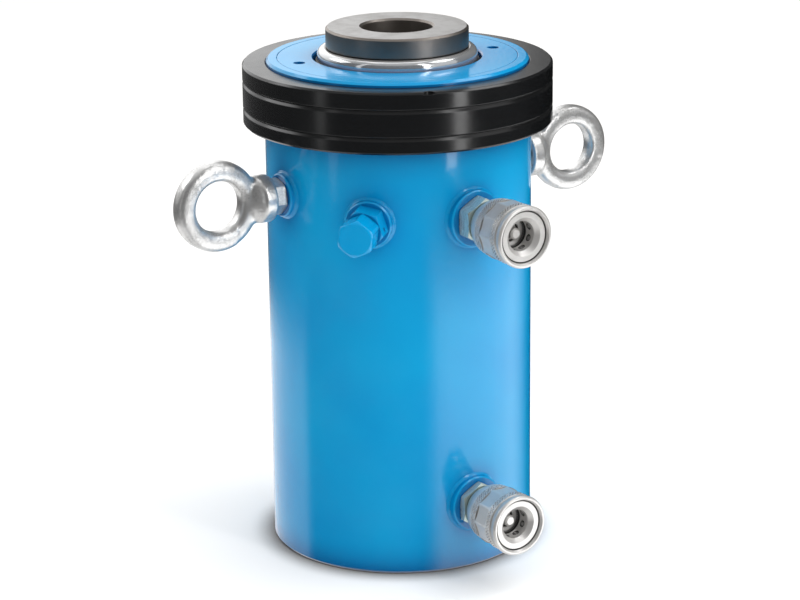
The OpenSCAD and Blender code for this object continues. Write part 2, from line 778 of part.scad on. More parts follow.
module port_seal(port) {
    color("black") on_port(port)
        o_ring(port_seal_r - 0.1, port_seal_wire / 2 - 0.18, -port[1] + port_seal_wire / 2 - 0.16);
}

// Coupler body: rear thread, poppet seat, ball holes and socket
module coupler_body(port) {
    color("lightgray") on_port(port) difference() {
        union() {
            translate([0, 0, body_z]) turned(body_r, coupler_h - body_z, bottom = 0.4);
            translate([0, 0, nose_z]) turned(nose_r, nose_h, top = 0.5);
        }
        translate([0, 0, body_z - 1]) cylinder(r = spigot_r + thread_gap, h = spigot_h + 1.5);
        translate([0, 0, body_z]) cylinder(r = valve_bore_r, h = throat_z - seat_h - body_z);
        translate([0, 0, throat_z - seat_h - eps])
            cylinder(r1 = valve_bore_r, r2 = throat_r, h = seat_h + 2 * eps);
        translate([0, 0, throat_z]) cylinder(r = throat_r, h = coupler_h);
        translate([0, 0, socket_floor_z]) cylinder(r = socket_r, h = coupler_h);
        translate([0, 0, coupler_h - socket_chamfer])
            cylinder(r1 = socket_r, r2 = socket_r + socket_chamfer + 0.5, h = socket_chamfer + 0.5);
        translate([0, 0, socket_seal_z - socket_seal_wire / 2])
            cylinder(r = socket_r + socket_seal_wire - 0.4, h = socket_seal_wire);
        for (i = [0:lock_ball_count - 1]) rotate([0, 0, 360 * (i + 0.5) / lock_ball_count])
            translate([0, 0, ball_z]) rotate([0, 90, 0]) {
                cylinder(r = ball_r - 0.33, h = body_r + 1, $fn = 32);
                translate([0, 0, socket_r + ball_lip]) cylinder(r = ball_r + 0.1, h = body_r, $fn = 32);
            }
    }
}

module stop_ring(port) {
    color("gray") on_port(port) ring(nose_r, body_r + thread_gap, stop_ring_h, body_z);
}

// Outline of the sleeve, in radius and height along the coupler
module sleeve_section() {
    lip = 1.6;
    r = sleeve_r;
    band = r - 0.5;
    polygon(concat(
        [[sleeve_bore_r, sleeve_z], [sleeve_bore_r + 0.7, sleeve_z], [band - 0.9, rear_knurl[0] - 1]],
        [[band - 0.9, rear_knurl[1]], [band - 1.5, rear_knurl[1] + 0.5], [band, flats_band[0]]],
        [[band, front_knurl[1] + 0.1], [band - 0.5, front_knurl[1] + 0.5]],
        [[band - 0.5, front_knurl[1] + 0.8]],
        [for (a = [0:15:90]) [r - lip + lip * cos(a), sleeve_top - lip + lip * sin(a)]],
        [[sleeve_bore_r + 1, sleeve_top], [sleeve_bore_r, sleeve_top - 1.6]],
        [[sleeve_bore_r, land_z + land_h]],
        [[body_r + slide_gap, land_z + land_h], [body_r + slide_gap, land_z], [sleeve_bore_r, land_z]]
    ));
}

// Sliding sleeve with a ring of wrench flats between its two knurled bands
module sleeve(port) {
    color("silver") on_port(port) difference() {
        rotate_extrude() sleeve_section();
        translate([0, 0, flats_band[0]]) difference() {
            cylinder(r = sleeve_r + 2, h = flats_band[1] - flats_band[0]);
            translate([0, 0, -1])
                cylinder(r = sleeve_flats_r / cos(180 / sleeve_flats), h = sleeve_top,
                    $fn = sleeve_flats);
        }
    }
}

module sleeve_spring(port) {
    z = body_z + stop_ring_h;
    color("gray") on_port(port) translate([0, 0, z + end_gap])
        coil_spring((body_r + sleeve_bore_r) / 2, sleeve_wire, land_z - z - 2 * end_gap, sleeve_turns);
}

module lock_balls(port) {
    color("silver") on_port(port) for (i = [0:lock_ball_count - 1])
        rotate([0, 0, 360 * (i + 0.5) / lock_ball_count])
            translate([ball_centre_r, 0, ball_z]) sphere(r = ball_r, $fn = 32);
}

module poppet(port) {
    color("silver") on_port(port) union() {
        translate([0, 0, stem_z]) turned(stem_r, head_top - stem_z, bottom = 0.4);
        translate([0, 0, head_top - head_h]) turned(head_r, head_h);
        translate([0, 0, head_top]) cylinder(r1 = head_r, r2 = throat_r - 0.6, h = seat_h * 0.9);
        translate([0, 0, head_top]) turned(nozzle_r, nozzle_top - head_top, top = 1);
    }
}

module poppet_spring(port) {
    h = head_top - head_h - neck_h;
    color("gray") on_port(port) translate([0, 0, neck_h + end_gap])
        coil_spring(poppet_coil_r, poppet_wire, h - 2 * end_gap, poppet_turns, steps = 14);
}

module socket_seal(port) {
    color("black") on_port(port) o_ring(socket_r + 0.6, socket_seal_wire / 2 - 0.1, socket_seal_z);
}

barrel();
collar_ring();
gland_nut();
gland_bush();
wiper();
rod_seal();
rod_wear_ring();
gland_o_ring();
centre_tube();
centre_tube_o_ring();
plunger();
saddle();
piston();
piston_lock_ring();
piston_seal();
piston_wear_ring();
inner_seal();
inner_wear_ring();
left_eye_bolt();
right_eye_bolt();
left_lock_nut();
right_lock_nut();
relief_body();
relief_cap();
relief_adjuster();
relief_follower();
relief_ball();
relief_spring();
adaptor(upper_port);  // upper_adaptor
port_seal(upper_port);  // upper_port_seal
coupler_body(upper_port);  // upper_coupler_body
stop_ring(upper_port);  // upper_stop_ring
sleeve(upper_port);  // upper_sleeve
sleeve_spring(upper_port);  // upper_sleeve_spring
lock_balls(upper_port);  // upper_lock_balls
poppet(upper_port);  // upper_poppet
poppet_spring(upper_port);  // upper_poppet_spring
socket_seal(upper_port);  // upper_socket_seal
adaptor(lower_port);  // lower_adaptor
port_seal(lower_port);  // lower_port_seal
coupler_body(lower_port);  // lower_coupler_body
stop_ring(lower_port);  // lower_stop_ring
sleeve(lower_port);  // lower_sleeve
sleeve_spring(lower_port);  // lower_sleeve_spring
lock_balls(lower_port);  // lower_lock_balls
poppet(lower_port);  // lower_poppet
poppet_spring(lower_port);  // lower_poppet_spring
socket_seal(lower_port);  // lower_socket_seal
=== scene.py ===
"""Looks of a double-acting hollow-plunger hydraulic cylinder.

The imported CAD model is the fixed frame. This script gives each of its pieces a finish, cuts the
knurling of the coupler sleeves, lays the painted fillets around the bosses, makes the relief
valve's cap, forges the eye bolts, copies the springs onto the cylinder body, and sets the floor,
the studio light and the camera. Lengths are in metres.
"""

import json
import math

import bmesh
import bpy
from mathutils import Matrix, Vector


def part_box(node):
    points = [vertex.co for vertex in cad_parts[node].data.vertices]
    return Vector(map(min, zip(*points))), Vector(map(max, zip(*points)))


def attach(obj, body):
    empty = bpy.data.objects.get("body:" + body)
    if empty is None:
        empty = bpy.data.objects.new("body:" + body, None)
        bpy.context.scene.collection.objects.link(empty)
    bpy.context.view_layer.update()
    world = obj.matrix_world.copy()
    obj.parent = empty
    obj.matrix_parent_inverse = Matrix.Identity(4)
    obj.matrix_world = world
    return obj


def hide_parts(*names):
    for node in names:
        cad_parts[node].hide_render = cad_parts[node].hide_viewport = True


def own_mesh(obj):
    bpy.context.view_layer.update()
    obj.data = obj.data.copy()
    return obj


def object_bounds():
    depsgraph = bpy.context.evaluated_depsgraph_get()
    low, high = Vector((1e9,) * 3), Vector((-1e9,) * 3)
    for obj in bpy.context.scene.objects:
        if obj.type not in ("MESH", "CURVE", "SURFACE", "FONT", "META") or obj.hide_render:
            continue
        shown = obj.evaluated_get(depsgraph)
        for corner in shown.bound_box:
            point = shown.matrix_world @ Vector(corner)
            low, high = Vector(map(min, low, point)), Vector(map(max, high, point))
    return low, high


MM = 0.001
UP = Vector((0, 0, 1))

BARREL_R = 80 * MM
PORT_BOSS_R = 17 * MM
RELIEF_BOSS_R = 14 * MM
EYE_BOSS_R = 13 * MM
EYE_COLLAR_H = 9 * MM
EYE_RING_CENTRE = 25.5 * MM  # from the collar's outer face
EYE_RING_MID_R = 21 * MM
EYE_RING_HALF = 5.9 * MM


# ---------------------------------------------------------------- shader building blocks


def add_node(tree, kind, inputs=(), **settings):
    """Adds a shader node. Inputs, by name or number, are values or other nodes' sockets."""
    made = tree.nodes.new("ShaderNode" + kind)
    for key, value in settings.items():
        setattr(made, key, value)
    for key, value in dict(inputs).items():
        if isinstance(value, bpy.types.NodeSocket):
            tree.links.new(value, made.inputs[key])
        else:
            made.inputs[key].default_value = value
    return made


def math_node(tree, operation, first, second=0.0):
    """One arithmetic step on numbers or sockets."""
    return add_node(tree, "Math", {0: first, 1: second}, operation=operation).outputs[0]


def vector_node(tree, operation, first, second, output="Vector"):
    """One arithmetic step on vectors or sockets."""
    made = add_node(tree, "VectorMath", {0: first, 1: second}, operation=operation)
    return made.outputs[output]


def remap(tree, value, low, high, to_low=0.0, to_high=1.0):
    """Stretches a mask from low..high to to_low..to_high, and clips it there."""
    made = add_node(tree, "MapRange", {
        "Value": value, "From Min": low, "From Max": high, "To Min": to_low, "To Max": to_high,
    })
    return made.outputs["Result"]


def mix_colours(tree, mask, first, second):
    """Mixes two colours by a mask."""
    return add_node(tree, "Mix", {0: mask, 6: first, 7: second}, data_type="RGBA").outputs[2]


def new_group(name, inputs, outputs):
    """Starts a shader node group with named sockets, and returns its tree and its two ends."""
    tree = bpy.data.node_groups.new(name, "ShaderNodeTree")
    for label, kind, default in inputs:
        socket = tree.interface.new_socket(name=label, in_out="INPUT", socket_type=kind)
        socket.default_value = default
    for label, kind in outputs:
        tree.interface.new_socket(name=label, in_out="OUTPUT", socket_type=kind)
    return tree, tree.nodes.new("NodeGroupInput").outputs, tree.nodes.new("NodeGroupOutput").inputs


def object_place(tree):
    """A point's place in the piece's own frame, in metres, which moves with the piece."""
    return add_node(tree, "TexCoord").outputs["Object"]


def noise(tree, place, scale, detail=2.0, roughness=0.5):
    """Cloudy noise with that many cells in a metre."""
    made = add_node(tree, "TexNoise", {
        "Vector": place, "Scale": scale, "Detail": detail, "Roughness": roughness,
    })
    return made.outputs["Fac"]


# ---------------------------------------------------------------- shared surface effects


def soft_edges_group():
    """Rounds the look of sharp edges, and marks them."""
    tree, given, result = new_group(
        "soft_edges",
        [("Radius", "NodeSocketFloat", 0.4 * MM)],
        [("Normal", "NodeSocketVector"), ("Edge", "NodeSocketFloat")],
    )
    rounded = add_node(tree, "Bevel", {"Radius": given["Radius"]}, samples=6).outputs["Normal"]
    flat = add_node(tree, "NewGeometry").outputs["Normal"]
    likeness = vector_node(tree, "DOT_PRODUCT", rounded, flat, "Value")
    tree.links.new(rounded, result["Normal"])
    tree.links.new(remap(tree, likeness, 0.99, 0.80), result["Edge"])
    return tree


def turning_marks_group():
    """Fine rings that a lathe tool leaves around an axis, on faces and on round walls."""
    tree, given, result = new_group(
        "turning_marks",
        [("Centre", "NodeSocketVector", (0, 0, 0)), ("Axis", "NodeSocketVector", (0, 0, 1)),
         ("Spacing", "NodeSocketFloat", 0.5 * MM)],
        [("Marks", "NodeSocketFloat")],
    )
    place = vector_node(tree, "SUBTRACT", object_place(tree), given["Centre"])
    along = vector_node(tree, "DOT_PRODUCT", place, given["Axis"], "Value")
    on_axis = add_node(tree, "VectorMath", {0: given["Axis"], "Scale": along}, operation="SCALE")
    out = vector_node(tree, "DISTANCE", place, on_axis.outputs["Vector"], "Value")
    travel = math_node(tree, "DIVIDE", math_node(tree, "ADD", along, out), given["Spacing"])
    rings = add_node(
        tree, "TexNoise", {"W": travel, "Scale": 1.0, "Detail": 2.5}, noise_dimensions="1D"
    )
    tree.links.new(rings.outputs["Fac"], result["Marks"])
    return tree


def orange_peel_group():
    """The faint waviness of sprayed enamel, and its slow change of tone."""
    tree, given, result = new_group(
        "orange_peel",
        [("Cells", "NodeSocketFloat", 350.0)],
        [("Height", "NodeSocketFloat"), ("Tone", "NodeSocketFloat")],
    )
    place = object_place(tree)
    tree.links.new(noise(tree, place, given["Cells"], 1.0), result["Height"])
    tree.links.new(remap(tree, noise(tree, place, 14.0, 3.0), 0.35, 0.65), result["Tone"])
    return tree


def handling_group():
    """Smears left by handling and oil."""
    tree, given, result = new_group(
        "handling",
        [("Cells", "NodeSocketFloat", 30.0)],
        [("Smears", "NodeSocketFloat")],
    )
    smears = noise(tree, object_place(tree), given["Cells"], 5.0, 0.65)
    tree.links.new(remap(tree, smears, 0.42, 0.68), result["Smears"])
    return tree


def forged_skin_group():
    """The shallow dimples and grain of a forged, tumbled and plated surface."""
    tree, given, result = new_group(
        "forged_skin",
        [("Cells", "NodeSocketFloat", 260.0)],
        [("Height", "NodeSocketFloat"), ("Grain", "NodeSocketFloat")],
    )
    place = object_place(tree)
    tree.links.new(noise(tree, place, given["Cells"], 3.0, 0.55), result["Height"])
    tree.links.new(remap(tree, noise(tree, place, 900.0, 2.0), 0.3, 0.7), result["Grain"])
    return tree


def crevices_group():
    """Marks the corners and pits where oil and dust settle and light does not reach, for painting
    shade there.
    """
    tree, given, result = new_group(
        "crevices",
        [("Reach", "NodeSocketFloat", 1.5 * MM)],
        [("Depth", "NodeSocketFloat")],
    )
    openness = add_node(tree, "AmbientOcclusion", {"Distance": given["Reach"]}, samples=6)
    tree.links.new(remap(tree, openness.outputs["AO"], 0.92, 0.45), result["Depth"])
    return tree


# ---------------------------------------------------------------- finishes


# Near-black for corners and pits: settled oil and dust, and painted shade where light does not
# reach.
GRIME_AND_SHADE = (0.035, 0.034, 0.032, 1)


class Finish:
    """A material being built: its tree, the shared groups placed in it, and its shader."""

    def __init__(self, name, groups):
        self.material = bpy.data.materials.new(name)
        self.material.use_nodes = True
        self.tree = self.material.node_tree
        self.tree.nodes.clear()
        self.groups = groups

    def effect(self, name, **values):
        """Places a shared effect, with its own values, and returns its outputs."""
        made = self.tree.nodes.new("ShaderNodeGroup")
        made.node_tree = self.groups[name]
        for label, value in values.items():
            made.inputs[label].default_value = value
        return made.outputs

    def bump(self, height, depth, normal):
        """Raises the surface by height times depth, in metres."""
        made = add_node(self.tree, "Bump", {"Height": height, "Distance": depth, "Normal": normal})
        return made.outputs["Normal"]

    def shade(self, links, **values):
        """Adds the shader: links are sockets by input name, values are constants."""
        shader = add_node(self.tree, "BsdfPrincipled", links)
        for label, value in values.items():
            shader.inputs[label.replace("_", " ")].default_value = value
        output = self.tree.nodes.new("ShaderNodeOutputMaterial")
        self.tree.links.new(shader.outputs["BSDF"], output.inputs["Surface"])
        return self.material


def enamel(groups, name, deep, bright, edge, shade_colour, roughness, cells, waviness, specular):
    """Sprayed gloss enamel, lighter where it thins along edges, and darkened with painted shade
    near other parts.
    """
    finish = Finish(name, groups)
    tree = finish.tree
    peel = finish.effect("orange_peel", Cells=cells)
    edges = finish.effect("soft_edges", Radius=0.6 * MM)
    handling = finish.effect("handling", Cells=22.0)
    toned = mix_colours(tree, peel["Tone"], deep, bright)
    thin = math_node(tree, "MULTIPLY", edges["Edge"], 0.12)
    # Painted shade: an occlusion mask out to 20 mm darkens the enamel towards its shade colour near
    # bosses, nuts, the collar and the floor.
    shadowed = finish.effect("crevices", Reach=20 * MM)["Depth"]
    painted_shade = math_node(tree, "MULTIPLY", shadowed, 0.95)
    return finish.shade({
        "Base Color": mix_colours(tree, painted_shade, mix_colours(tree, thin, toned, edge), shade_colour),
        "Roughness": remap(tree, handling["Smears"], 0, 1, roughness, roughness + 0.07),
        "Normal": finish.bump(peel["Height"], waviness, edges["Normal"]),
    }, Specular_IOR_Level=specular)


def turned_metal(groups, name, colour, worn, roughness, centre, axis, spacing, depth,
                 metallic=1.0, ground=None, cells=70.0, wear=0.35):
    """Turned metal with tool marks around its axis; its end faces may be ground to another tone.

    Wear is the share of the worn colour in its smears, and cells are the smears in a metre.
    """
    finish = Finish(name, groups)
    tree = finish.tree
    marks = finish.effect("turning_marks", Centre=centre, Axis=axis, Spacing=spacing)["Marks"]
    edges = finish.effect("soft_edges", Radius=0.35 * MM)
    handling = finish.effect("handling", Cells=cells)
    if ground:
        normal = add_node(tree, "NewGeometry").outputs["Normal"]
        facing = vector_node(tree, "DOT_PRODUCT", normal, axis, "Value")
        end_face = remap(tree, math_node(tree, "ABSOLUTE", facing), 0.8, 0.97)
        colour = mix_colours(tree, end_face, colour, ground)
    smeared = mix_colours(tree, math_node(tree, "MULTIPLY", handling["Smears"], wear), colour, worn)
    # Painted shade and settled oil: an occlusion mask within 1.6 mm darkens corners, pits and knurl
    # valleys towards near-black.
    grime_and_shade = math_node(tree, "MULTIPLY", finish.effect("crevices", Reach=1.6 * MM)["Depth"], 0.92)
    ringed = math_node(tree, "ADD", remap(tree, marks, 0.3, 0.7, -0.05, 0.05), roughness)
    rough = math_node(tree, "ADD", ringed, math_node(tree, "MULTIPLY", handling["Smears"], 0.08))
    return finish.shade({
        "Base Color": mix_colours(tree, grime_and_shade, smeared, GRIME_AND_SHADE),
        "Roughness": rough,
        "Normal": finish.bump(marks, depth, edges["Normal"]),
    }, Metallic=metallic)


def forged_metal(groups, name, colour, worn, roughness, metallic):
    """Forged steel, tumbled and zinc plated, with worn and darker patches in its plating."""
    finish = Finish(name, groups)
    tree = finish.tree
    skin = finish.effect("forged_skin", Cells=240.0)
    edges = finish.effect("soft_edges", Radius=0.5 * MM)
    handling = finish.effect("handling", Cells=60.0)
    dulled = math_node(tree, "MULTIPLY", handling["Smears"], skin["Grain"])
    rough = math_node(tree, "ADD", math_node(tree, "MULTIPLY", dulled, 0.16), roughness)
    # Painted shade and settled oil: an occlusion mask within 2.5 mm darkens creases towards
    # near-black.
    grime_and_shade = math_node(tree, "MULTIPLY", finish.effect("crevices", Reach=2.5 * MM)["Depth"], 0.6)
    return finish.shade({
        "Base Color": mix_colours(tree, grime_and_shade, mix_colours(tree, dulled, colour, worn), GRIME_AND_SHADE),
        "Roughness": rough,
        "Normal": finish.bump(skin["Height"], 0.30 * MM, edges["Normal"]),
    }, Metallic=metallic)


def moulded(groups, name, colour, bloom, roughness, cells):
    """Moulded rubber, polyurethane or resin-bonded fabric, with a faint bloom."""
    finish = Finish(name, groups)
    tree = finish.tree
    handling = finish.effect("handling", Cells=cells)
    peel = finish.effect("orange_peel", Cells=1400.0)
    edges = finish.effect("soft_edges", Radius=0.3 * MM)
    tinted = math_node(tree, "MULTIPLY", handling["Smears"], 0.5)
    return finish.shade({
        "Base Color": mix_colours(tree, tinted, colour, bloom),
        "Roughness": remap(tree, handling["Smears"], 0, 1, roughness, roughness + 0.15),
        "Normal": finish.bump(peel["Height"], 0.04 * MM, edges["Normal"]),
    })


def shared_groups():
    """Builds each shared effect once."""
    return {
        "soft_edges": soft_edges_group(),
        "turning_marks": turning_marks_group(),
        "orange_peel": orange_peel_group(),
        "handling": handling_group(),
        "forged_skin": forged_skin_group(),
        "crevices": crevices_group(),
    }


def relief_axis(relief_box):
    """The relief valve's own axis: a point on it, and its direction away from the barrel."""
    centre = (relief_box[0] + relief_box[1]) / 2
    outward = Vector((centre.x, centre.y, 0)).normalized()
    return (0, 0, centre.z), tuple(outward)


def make_finishes(groups, upper_axis, lower_axis, valve_axis):
    """Every finish by slot name; pieces turned on another axis add that axis's name."""
    main_axis = ((0, 0, 0), (0, 0, 1))
    finishes = {
        # Each enamel's fourth colour is the dark colour of its painted shade.
        "blue_paint": enamel(
            groups, "blue_paint", (0.0, 0.282, 0.60, 1), (0.001, 0.325, 0.64, 1),
            (0.05, 0.42, 0.72, 1), (0.0, 0.10, 0.34, 1), 0.12, 300.0, 0.05 * MM, 0.5),
        "black_collar": enamel(
            groups, "black_collar", (0.0045, 0.005, 0.0055, 1), (0.0065, 0.007, 0.0075, 1),
            (0.05, 0.052, 0.055, 1), (0.003, 0.003, 0.003, 1), 0.17, 240.0, 0.015 * MM, 0.52),
        "bronze": turned_metal(
            groups, "bronze", (0.62, 0.43, 0.2, 1), (0.42, 0.27, 0.12, 1),
            0.32, *main_axis, 0.4 * MM, 0.01 * MM),
        "rubber": moulded(
            groups, "rubber", (0.012, 0.012, 0.013, 1), (0.035, 0.035, 0.036, 1), 0.45, 160.0),
        "seal": moulded(
            groups, "seal", (0.30, 0.035, 0.028, 1), (0.38, 0.08, 0.06, 1), 0.35, 120.0),
        "wear_band": moulded(
            groups, "wear_band", (0.36, 0.22, 0.11, 1), (0.46, 0.33, 0.2, 1), 0.55, 500.0),
        "tube_steel": turned_metal(
            groups, "tube_steel", (0.50, 0.51, 0.52, 1), (0.36, 0.36, 0.36, 1),
            0.28, *main_axis, 0.5 * MM, 0.008 * MM),
        "chrome": turned_metal(
            groups, "chrome", (0.64, 0.645, 0.65, 1), (0.58, 0.585, 0.59, 1),
            0.10, *main_axis, 0.25 * MM, 0.0015 * MM, metallic=0.76),
        "dark_steel": turned_metal(
            groups, "dark_steel", (0.262, 0.236, 0.214, 1), (0.22, 0.20, 0.184, 1),
            0.40, *main_axis, 0.35 * MM, 0.012 * MM, ground=(0.53, 0.523, 0.515, 1)),
        "bright_zinc": forged_metal(
            groups, "bright_zinc", (0.70, 0.697, 0.69, 1), (0.34, 0.338, 0.33, 1), 0.30, 0.84),
    }
    for name, (centre, axis) in (("upper", upper_axis), ("lower", lower_axis)):
        finishes["nickel_steel_" + name] = turned_metal(
            groups, "nickel_steel_" + name, (0.68, 0.668, 0.652, 1), (0.44, 0.432, 0.42, 1),
            0.34, centre, axis, 0.3 * MM, 0.008 * MM, metallic=0.64, ground=(0.72, 0.71, 0.695, 1))
        finishes["knurled_steel_" + name] = turned_metal(
            groups, "knurled_steel_" + name, (0.92, 0.91, 0.895, 1), (0.16, 0.158, 0.155, 1),
            0.20, centre, axis, 0.3 * MM, 0.002 * MM, metallic=0.90, cells=420.0, wear=0.85)
        finishes["green_zinc_" + name] = turned_metal(
            groups, "green_zinc_" + name, (0.60, 0.70, 0.66, 1), (0.45, 0.53, 0.47, 1),
            0.27, centre, axis, 0.4 * MM, 0.01 * MM, metallic=0.68)
        finishes["spring_steel_" + name] = turned_metal(
            groups, "spring_steel_" + name, (0.45, 0.45, 0.45, 1), (0.32, 0.32, 0.31, 1),
            0.25, centre, axis, 0.3 * MM, 0.005 * MM)
    centre, axis = valve_axis
    finishes["spring_steel_relief"] = turned_metal(
        groups, "spring_steel_relief", (0.45, 0.45, 0.45, 1), (0.32, 0.32, 0.31, 1),
        0.25, centre, axis, 0.3 * MM, 0.005 * MM)
    return finishes


def coat_frame(frame, finishes):
    """Gives each CAD piece the finish of its slot, turned on its own axis."""
    for part in frame["record"]["subparts"]:
        name, slot = part["node"], part["material_slot"]
        on_own_axis = slot + "_" + name.split("_")[0]
        finish = finishes.get(on_own_axis) or finishes[slot]
        for held in frame["nodes"][name].material_slots:
            held.material = finish


# ---------------------------------------------------------------- pieces made here


def mesh_piece(name, vertices, faces, finish, body, smooth=True):
    """Makes a mesh piece that rides on a body."""
    mesh = bpy.data.meshes.new(name)
    mesh.from_pydata(vertices, [], faces)
    edited = bmesh.new()
    edited.from_mesh(mesh)
    bmesh.ops.recalc_face_normals(edited, faces=edited.faces)
    edited.to_mesh(mesh)
    edited.free()
    if smooth:
        mesh.shade_smooth()
    piece = bpy.data.objects.new(name, mesh)
    bpy.context.scene.collection.objects.link(piece)
    mesh.materials.append(finish)
    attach(piece, body)
    return piece


def ring_faces(columns, rows):
    """Faces of a closed ring: columns around, each a closed loop of rows points."""
    return [
        (i * rows + j, i * rows + (j + 1) % rows,
         (i + 1) % columns * rows + (j + 1) % rows, (i + 1) % columns * rows + j)
        for i in range(columns) for j in range(rows)
    ]


def knurl_band(name, sleeve_box, radius, from_lip, width, finish, body):
    """A band of diamond knurling around a coupler sleeve, from_lip behind its front lip.

    Peaks and pits alternate on a grid of half pitches. Each square of the grid is split between
    its two pits, so every diamond is a four-sided pyramid.
    """
    pitch, depth, root, sunk = 1.9 * MM, 0.75 * MM, 0.3 * MM, 0.6 * MM
    low, high = sleeve_box
    axis_z = (low.z + high.z) / 2
    around = 2 * round(2 * math.pi * radius / pitch)
    along = 2 * round(width / pitch)
    rows = along + 3
    vertices, faces = [], []
    for i in range(around):
        angle = 2 * math.pi * i / around
        peaks = [depth * ((i + j) % 2) if 0 < j < along else 0 for j in range(along + 1)]
        section = [(radius - root + peak, j / along) for j, peak in enumerate(peaks)]
        for r, share in section + [(radius - sunk, 1), (radius - sunk, 0)]:
            y = low.y + from_lip + width * share
            vertices.append((r * math.cos(angle), y, axis_z + r * math.sin(angle)))
        for j in range(rows):
            square = [
                i * rows + j, (i + 1) % around * rows + j,
                (i + 1) % around * rows + (j + 1) % rows, i * rows + (j + 1) % rows,
            ]
            if j >= along:
                faces.append(square)
                continue
            if (i + j) % 2:
                square = square[1:] + square[:1]
            faces += [(square[0], square[1], square[2]), (square[0], square[2], square[3])]
    return mesh_piece(name, vertices, faces, finish, body, smooth=False)


def boss_fillet(name, azimuth, height, boss_r, finish):
    """The painted fillet where a round boss meets the barrel's wall.

    Its hidden back lies under the boss's wall by tuck, and under the barrel's by sunk.
    """
    leg, tuck, sunk, steps, around = 1.5 * MM, 0.4 * MM, 0.6 * MM, 6, 128
    outward = Vector((math.cos(azimuth), math.sin(azimuth), 0))
    side = UP.cross(outward)
    vertices = []
    for i in range(around):
        turn = 2 * math.pi * i / around
        section = [
            (boss_r + leg * (1 - math.sin(bend)), leg * (1 - math.cos(bend)))
            for bend in (0.5 * math.pi * j / steps for j in range(steps + 1))
        ]
        section += [(boss_r - tuck, leg - tuck / 2), (boss_r - tuck, -sunk), (boss_r + leg, -sunk)]
        for reach, rise in section:
            across = reach * math.cos(turn)
            wall = math.sqrt(BARREL_R ** 2 - across ** 2)
            spot = outward * (wall + rise) + side * across
            vertices.append((spot.x, spot.y, height + reach * math.sin(turn)))
    faces = ring_faces(around, len(section))
    return mesh_piece(name, vertices, faces, finish, "cylinder_body")


def relief_hex_cap(cap_box, finish):
    """The relief valve's hexagonal cap, bored for its thread, its corners turned off at both ends.

    The cap lies level along its valve's axis, so its box gives its length and its place.
    """
    low, high = cap_box
    cap_r = (high.z - low.z) / 2
    outward = Vector((low.x + high.x, low.y + high.y, 0)).normalized()
    side = UP.cross(outward)
    tip = abs(low.x / outward.x) - cap_r
    foot = abs(high.x / outward.x) + cap_r
    flat_r, corner_r, foot_r, tip_r = 0.94 * cap_r, 1.05 * cap_r, 0.97 * cap_r, 0.86 * cap_r
    around, steps, foot_chamfer, tip_chamfer = 192, 12, 0.7 * MM, 1.8 * MM
    bore_r, bore_depth = 8.7 * MM, 14 * MM
    turned_to = math.radians(-7)
    sections = [
        (foot + bore_depth, bore_r), (foot, bore_r), (foot, foot_r),
        (foot + foot_chamfer, corner_r),
    ]
    for step in range(steps + 1):
        share = step / steps
        sections.append(
            (tip - tip_chamfer * (1 - share), corner_r + (tip_r - corner_r) * share ** 1.6)
        )
    vertices = []
    for distance, reach_limit in sections:
        for i in range(around):
            turn = 2 * math.pi * i / around
            from_flat = (turn + math.pi / 6) % (math.pi / 3) - math.pi / 6
            reach = min(flat_r / math.cos(from_flat), reach_limit)
            spot = outward * distance + side * reach * math.cos(turn + turned_to)
            rise = reach * math.sin(turn + turned_to)
            vertices.append((spot.x, spot.y, (low.z + high.z) / 2 + rise))
    faces = [
        (k * around + i, k * around + (i + 1) % around,
         (k + 1) * around + (i + 1) % around, (k + 1) * around + i)
        for k in range(len(sections) - 1) for i in range(around)
    ]
    faces.append(tuple(range(around)))
    faces.append(tuple(range((len(sections) - 1) * around, len(sections) * around)))
    cap = mesh_piece("relief_hex_cap", vertices, faces, finish, "cylinder_body")
    cap.data.set_sharp_from_angle(angle=math.radians(18))  # keeps the flats apart
    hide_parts("relief_cap")


def add_flare(forged, face_x, outward, eye_z):
    """Adds the neck between an eye bolt's collar and its eye: round below, flat and wide above."""
    height, sunk, levels, around = 9 * MM, 0.8 * MM, 9, 64
    foot_wide, foot_thick, top_wide, top_thick = 14.2 * MM, 14 * MM, 12.2 * MM, 5.2 * MM
    loops = []
    for level in range(levels + 1):
        share = level / levels
        wide = foot_wide + (top_wide - foot_wide) * share
        thick = top_thick + (foot_thick - top_thick) * (1 - share) ** 1.7
        x = face_x + outward * (height * share - sunk)
        loops.append([
            forged.verts.new((x, thick * math.cos(turn), eye_z + wide * math.sin(turn)))
            for turn in (2 * math.pi * i / around for i in range(around))
        ])
    for below, above in zip(loops, loops[1:]):
        for i in range(around):
            j = (i + 1) % around
            forged.faces.new((below[i], below[j], above[j], above[i]))
    forged.faces.new(loops[0])
    forged.faces.new(loops[-1])


def add_flat_ring(forged, centre_x, eye_z):
    """Adds the eye's ring with the nearly square section that its forging dies leave."""
    around, steps, squareness = 160, 32, 0.62

    def squared(value):
        return math.copysign(abs(value) ** squareness, value) * EYE_RING_HALF

    loops = []
    for i in range(around):
        turn = 2 * math.pi * i / around
        loop = []
        for j in range(steps):
            bend = 2 * math.pi * j / steps
            reach, aside = EYE_RING_MID_R + squared(math.cos(bend)), squared(math.sin(bend))
            loop.append(forged.verts.new(
                (centre_x + reach * math.cos(turn), aside, eye_z + reach * math.sin(turn))
            ))
        loops.append(loop)
    for i, loop in enumerate(loops):
        following = loops[(i + 1) % around]
        for j in range(steps):
            k = (j + 1) % steps
            forged.faces.new((loop[j], loop[k], following[k], following[j]))


